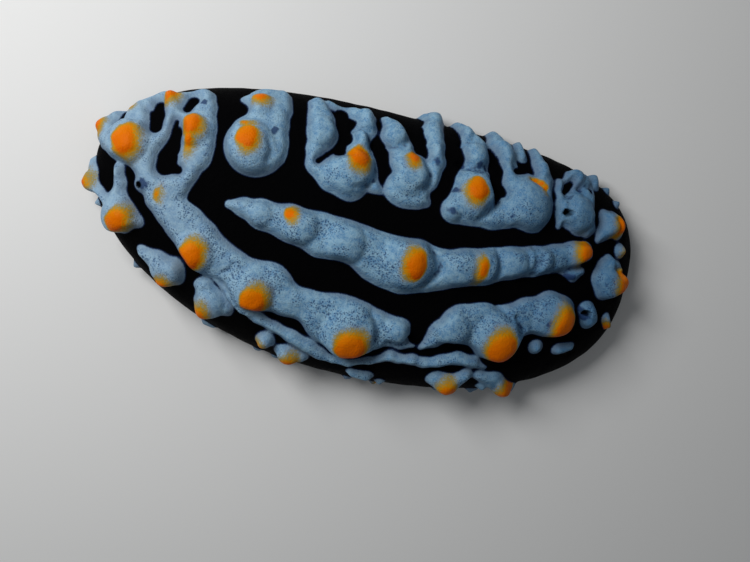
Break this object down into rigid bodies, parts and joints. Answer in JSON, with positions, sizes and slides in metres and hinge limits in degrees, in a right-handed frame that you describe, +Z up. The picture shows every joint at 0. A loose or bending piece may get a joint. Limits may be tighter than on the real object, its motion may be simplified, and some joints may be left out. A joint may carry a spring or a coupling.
{
  "type": "wart slug nudibranch",
  "caption": "Still life-size sea slug with an oval mantle of blue-grey ridges and orange-capped knobs on black skin, resting flat on its foot.",
  "frame": {"origin": "on the floor under the middle of the bare mantle, at the middle of the sole (the mount sole)", "axes": "+X towards the head, +Y towards the animal's left, +Z up out of the back"},
  "size_m": [0.0711, 0.0353, 0.0131],
  "materials": {
    "mantle_skin": "satin skin: pale blue-grey finely speckled pads with orange caps, on velvet black",
    "foot_skin": "smooth matt grey flesh, with a dark stripe down the sole",
    "gill_skin": "thin soft grey flaps",
    "feeler_skin": "soft orange flesh"
  },
  "bodies": {
    "root": {"mantle_tail": "mantle_skin", "mantle_rear": "mantle_skin", "mantle_middle": "mantle_skin", "mantle_fore": "mantle_skin", "mantle_head": "mantle_skin", "foot": "foot_skin", "head": "foot_skin", "gills_left": "gill_skin", "gills_right": "gill_skin", "oral_tentacle_left": "feeler_skin", "oral_tentacle_right": "feeler_skin", "rhinophore_left": "feeler_skin", "rhinophore_right": "feeler_skin"}
  },
  "joints": []
}
